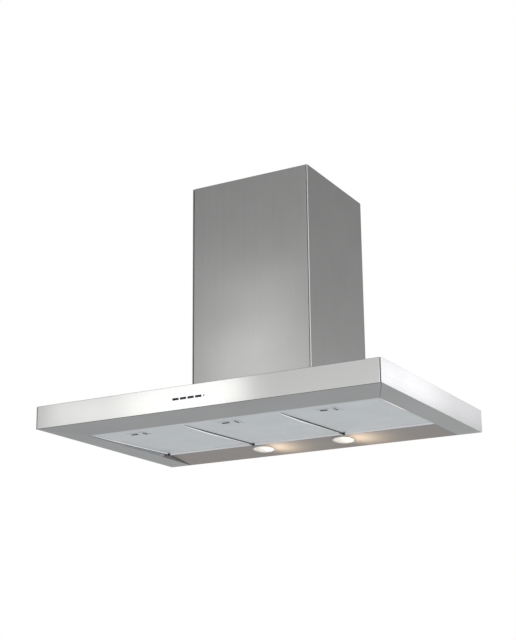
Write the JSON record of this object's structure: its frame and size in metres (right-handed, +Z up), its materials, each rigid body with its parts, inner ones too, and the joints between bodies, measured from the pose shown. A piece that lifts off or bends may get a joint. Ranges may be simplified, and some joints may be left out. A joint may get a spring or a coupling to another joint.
{
  "type": "island range hood",
  "caption": "Ceiling-hung extractor hood: flat rectangular canopy with grease filters, lamps and push buttons under a square telescopic chimney.",
  "frame": {"origin": "on the ceiling face of the ceiling plate, on the chimney's axis", "axes": "+X along the canopy to the right as seen from the controls side, +Y from the controls side to the rear, +Z up"},
  "size_m": [0.9, 0.6008, 0.642],
  "materials": {
    "brushed_steel": "brushed",
    "satin_steel": "fine satin, near polished",
    "flange_steel": "satin",
    "bezel_metal": "polished",
    "galvanised_steel": "galvanised, matt",
    "shaft_steel": "machined",
    "aluminium": "satin",
    "filter_mesh": "fine mesh",
    "black_plastic": "semi gloss",
    "impeller_plastic": "matt",
    "grey_plastic": "matt",
    "white_plastic": "matt",
    "lamp_glass": "frosted",
    "circuit_board": "semi matt",
    "motor_paint": "semi gloss paint",
    "indicator": "clear red"
  },
  "bodies": {
    "ceiling_frame": {"ceiling_plate": "galvanised_steel", "upper_chimney": "brushed_steel", "upper_upright_front_left": "galvanised_steel", "upper_upright_front_right": "galvanised_steel", "upper_upright_rear_left": "galvanised_steel", "upper_upright_rear_right": "galvanised_steel"},
    "hood_body": {"blower_casing": "galvanised_steel", "button_housing": "black_plastic", "cable_gland": "black_plastic", "canopy_top": "brushed_steel", "chimney_front_panel": "brushed_steel", "chimney_rear_shell": "brushed_steel", "control_board": "circuit_board", "electronics_box": "grey_plastic", "flap_pin": "shaft_steel", "front_fascia": "satin_steel", "front_flange": "flange_steel", "front_inner_wall": "galvanised_steel", "lamp_bezel_left": "bezel_metal", "lamp_bezel_right": "bezel_metal", "lamp_housing_left": "white_plastic", "lamp_housing_right": "white_plastic", "lamp_lens_left": "lamp_glass", "lamp_lens_right": "lamp_glass", "lamp_panel": "flange_steel", "left_flange": "flange_steel", "left_skirt": "satin_steel", "lower_upright_front_left": "galvanised_steel", "lower_upright_front_right": "galvanised_steel", "lower_upright_rear_left": "galvanised_steel", "lower_upright_rear_right": "galvanised_steel", "motor": "motor_paint", "motor_bracket": "galvanised_steel", "outlet_spigot": "grey_plastic", "rear_skirt": "satin_steel", "right_flange": "flange_steel", "right_skirt": "satin_steel", "status_led": "indicator", "volute": "galvanised_steel"},
    "filter_1": {"filter_frame_1": "aluminium", "filter_mesh_1": "filter_mesh"},
    "latch_1": {"filter_latch_1": "aluminium"},
    "filter_2": {"filter_frame_2": "aluminium", "filter_mesh_2": "filter_mesh"},
    "latch_2": {"filter_latch_2": "aluminium"},
    "filter_3": {"filter_frame_3": "aluminium", "filter_mesh_3": "filter_mesh"},
    "latch_3": {"filter_latch_3": "aluminium"},
    "button_1": {"push_button_1": "black_plastic"},
    "button_2": {"push_button_2": "black_plastic"},
    "button_3": {"push_button_3": "black_plastic"},
    "button_4": {"push_button_4": "black_plastic"},
    "fan": {"impeller": "impeller_plastic", "motor_shaft": "shaft_steel"},
    "flap_front": {"backdraft_flap_front": "aluminium"},
    "flap_rear": {"backdraft_flap_rear": "aluminium"}
  },
  "joints": [
    {"name": "height_adjust", "type": "slide", "parent": "ceiling_frame", "child": "hood_body", "axis": [0, 0, -1], "range_m": [0, 0.3]},
    {"name": "filter_drop_1", "type": "hinge", "parent": "hood_body", "child": "filter_1", "pos_m": [-0.25753, 0.0847, -0.63], "axis": [1, 0, 0], "range_deg": [0, 80]},
    {"name": "latch_slide_1", "type": "slide", "parent": "filter_1", "child": "latch_1", "axis": [0, 0.9994, 0.0336], "range_m": [0, 0.005], "stiffness_N_per_m": 300, "springref_m": -0.002},
    {"name": "filter_drop_2", "type": "hinge", "parent": "hood_body", "child": "filter_2", "pos_m": [0, 0.0847, -0.63], "axis": [1, 0, 0], "range_deg": [0, 80]},
    {"name": "latch_slide_2", "type": "slide", "parent": "filter_2", "child": "latch_2", "axis": [0, 0.9994, 0.0336], "range_m": [0, 0.005], "stiffness_N_per_m": 300, "springref_m": -0.002},
    {"name": "filter_drop_3", "type": "hinge", "parent": "hood_body", "child": "filter_3", "pos_m": [0.25753, 0.0847, -0.63], "axis": [1, 0, 0], "range_deg": [0, 80]},
    {"name": "latch_slide_3", "type": "slide", "parent": "filter_3", "child": "latch_3", "axis": [0, 0.9994, 0.0336], "range_m": [0, 0.005], "stiffness_N_per_m": 300, "springref_m": -0.002},
    {"name": "button_press_1", "type": "slide", "parent": "hood_body", "child": "button_1", "axis": [0, 1, 0], "range_m": [0, 0.0015], "stiffness_N_per_m": 400, "springref_m": -0.001},
    {"name": "button_press_2", "type": "slide", "parent": "hood_body", "child": "button_2", "axis": [0, 1, 0], "range_m": [0, 0.0015], "stiffness_N_per_m": 400, "springref_m": -0.001},
    {"name": "button_press_3", "type": "slide", "parent": "hood_body", "child": "button_3", "axis": [0, 1, 0], "range_m": [0, 0.0015], "stiffness_N_per_m": 400, "springref_m": -0.001},
    {"name": "button_press_4", "type": "slide", "parent": "hood_body", "child": "button_4", "axis": [0, 1, 0], "range_m": [0, 0.0015], "stiffness_N_per_m": 400, "springref_m": -0.001},
    {"name": "fan_spin", "type": "hinge", "parent": "hood_body", "child": "fan", "pos_m": [0, 0.01227, -0.4617], "axis": [1, 0, 0], "continuous": true},
    {"name": "flap_lift_front", "type": "hinge", "parent": "hood_body", "child": "flap_front", "pos_m": [0, 0, -0.3204], "axis": [-1, 0, 0], "range_deg": [0, 75]},
    {"name": "flap_lift_rear", "type": "hinge", "parent": "hood_body", "child": "flap_rear", "pos_m": [0, 0, -0.3204], "axis": [1, 0, 0], "range_deg": [0, 75]}
  ]
}
